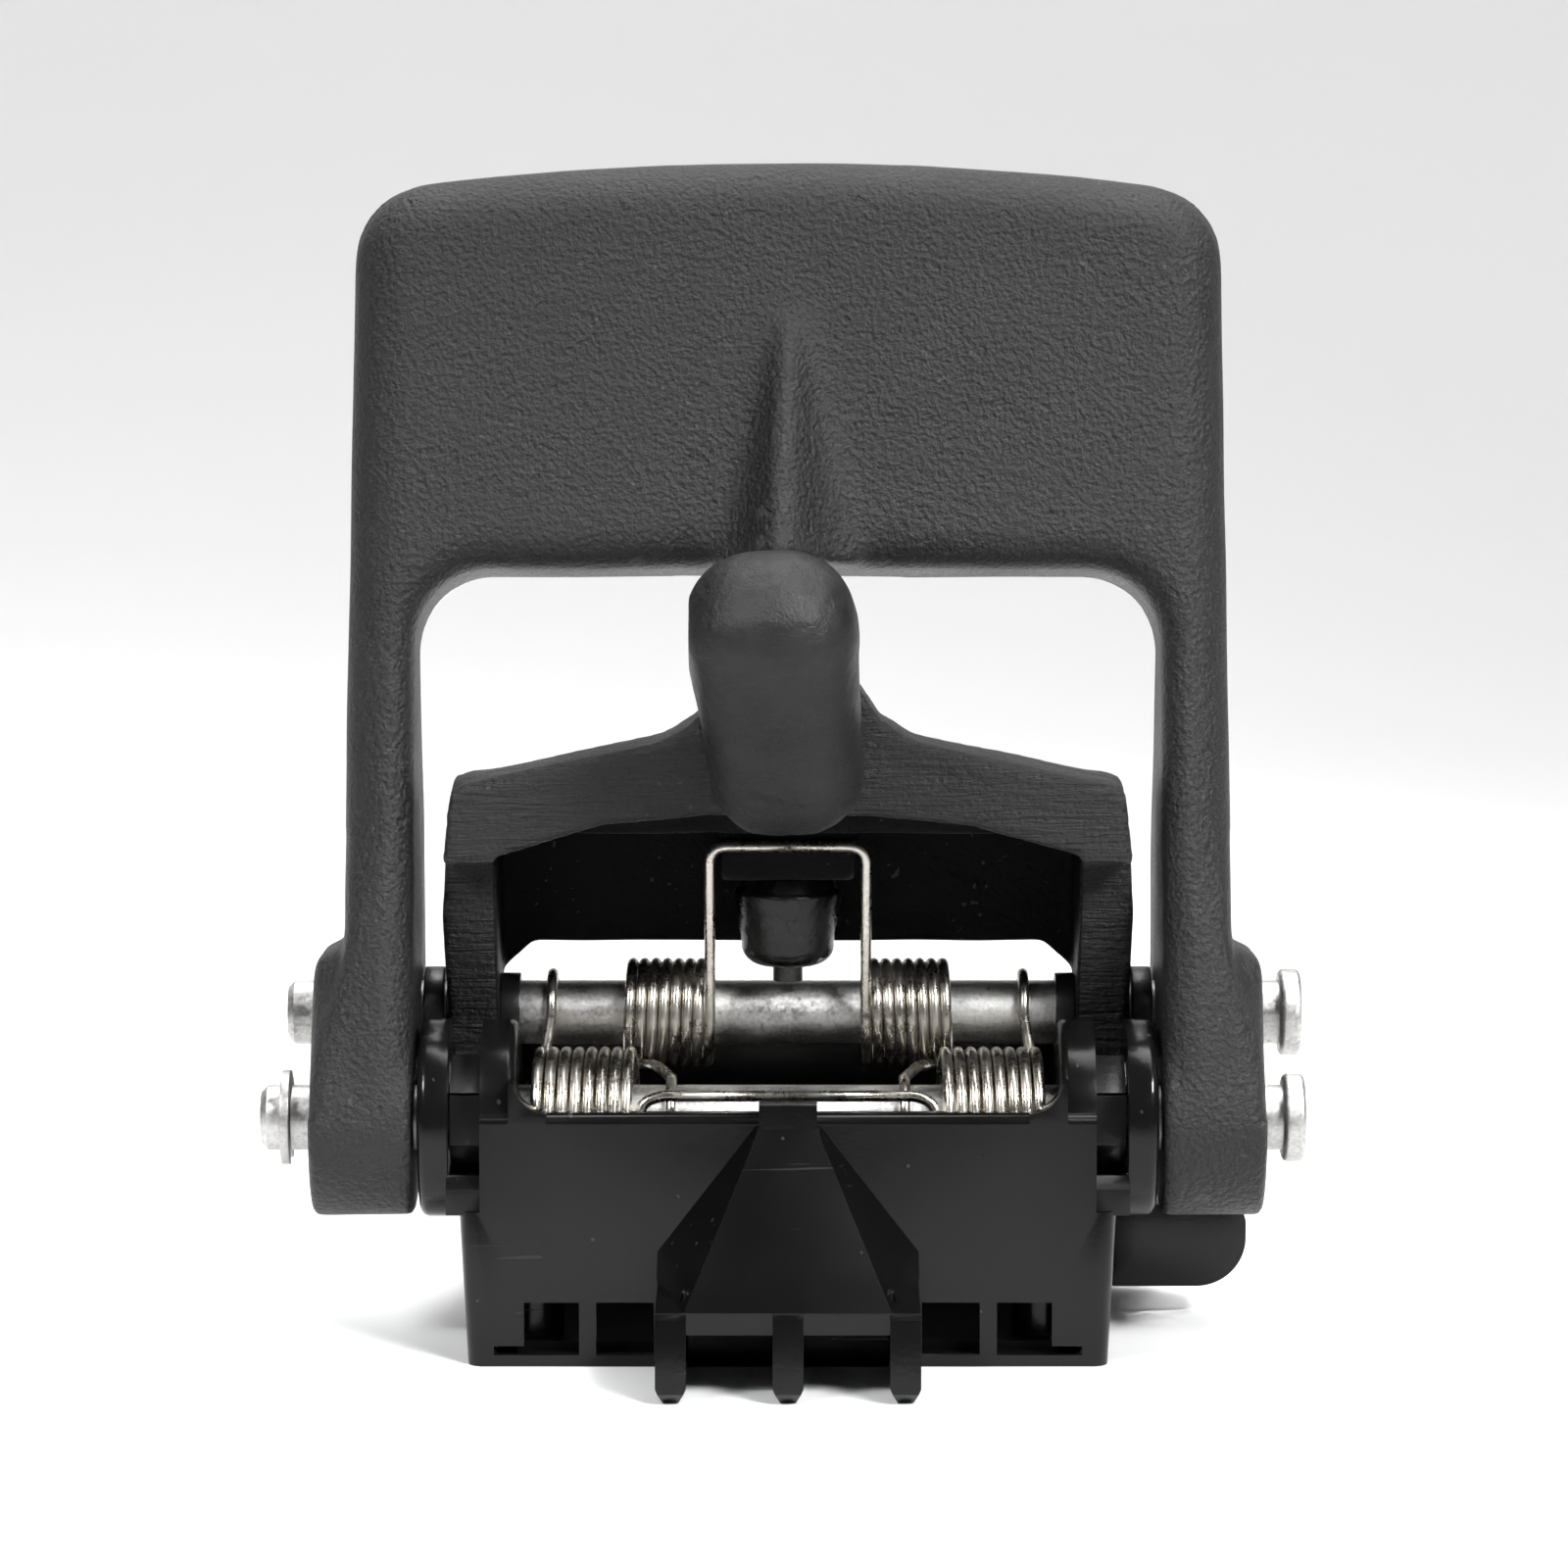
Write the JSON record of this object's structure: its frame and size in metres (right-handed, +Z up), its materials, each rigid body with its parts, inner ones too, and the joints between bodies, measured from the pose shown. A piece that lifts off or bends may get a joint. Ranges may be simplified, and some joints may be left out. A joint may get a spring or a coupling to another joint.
{
  "type": "snap mouse trap",
  "caption": "Black cast spring mechanism of a snap trap: striker frame over a moulded base, trigger yoke with thumb grip, headed pins and double torsion springs.",
  "frame": {"origin": "on the underside of the base, straight below the axis of the lower pin, in the middle of the width", "axes": "+X to the right, +Y to the back, +Z up; the wedge and the thumb grip point to -Y"},
  "size_m": [0.0806, 0.044, 0.0906],
  "materials": {
    "base_plastic": "semi-gloss moulded",
    "cast_black": "cast, black powder coat",
    "grip_black": "satin, leathery grain",
    "bumper_rubber": "glossy",
    "hub_plastic": "semi-gloss",
    "pin_zinc": "dull zinc plate",
    "clip_steel": "stamped",
    "screw_steel": "plain",
    "spring_wire": "drawn wire"
  },
  "bodies": {
    "base": {"base_housing": "base_plastic", "base_plate": "base_plastic", "base_plate_screws": "screw_steel", "trip_lever_pin": "pin_zinc"},
    "side_lever": {"trip_lever": "base_plastic"},
    "frame": {"striker_frame": "cast_black", "lower_pin": "pin_zinc", "lower_pin_clip": "clip_steel", "upper_pin": "pin_zinc", "cam_hub_left": "hub_plastic", "cam_hub_right": "hub_plastic", "washer_left": "hub_plastic", "washer_right": "hub_plastic", "lower_spring": "spring_wire"},
    "yoke": {"trigger_yoke": "cast_black", "thumb_grip": "grip_black", "rubber_bumper": "bumper_rubber", "bumper_stud": "screw_steel", "yoke_bush_left": "hub_plastic", "yoke_bush_right": "hub_plastic", "upper_spring": "spring_wire"}
  },
  "joints": [
    {"name": "frame_swing", "type": "hinge", "parent": "base", "child": "frame", "pos_m": [0, 0, 0.0177], "axis": [1, 0, 0], "range_deg": [0, 60], "stiffness_Nm_per_rad": 0.058, "springref_deg": -57.3, "deforming": ["lower_spring"]},
    {"name": "yoke_swing", "type": "hinge", "parent": "frame", "child": "yoke", "pos_m": [0, 0.01, 0.024], "axis": [1, 0, 0], "range_deg": [0, 20], "stiffness_Nm_per_rad": 0.09, "springref_deg": -28.65, "deforming": ["upper_spring"]},
    {"name": "side_lever_tilt", "type": "hinge", "parent": "base", "child": "side_lever", "pos_m": [0.0268, 0.017, 0.006], "axis": [1, 0, 0], "range_deg": [-12, 0]}
  ]
}
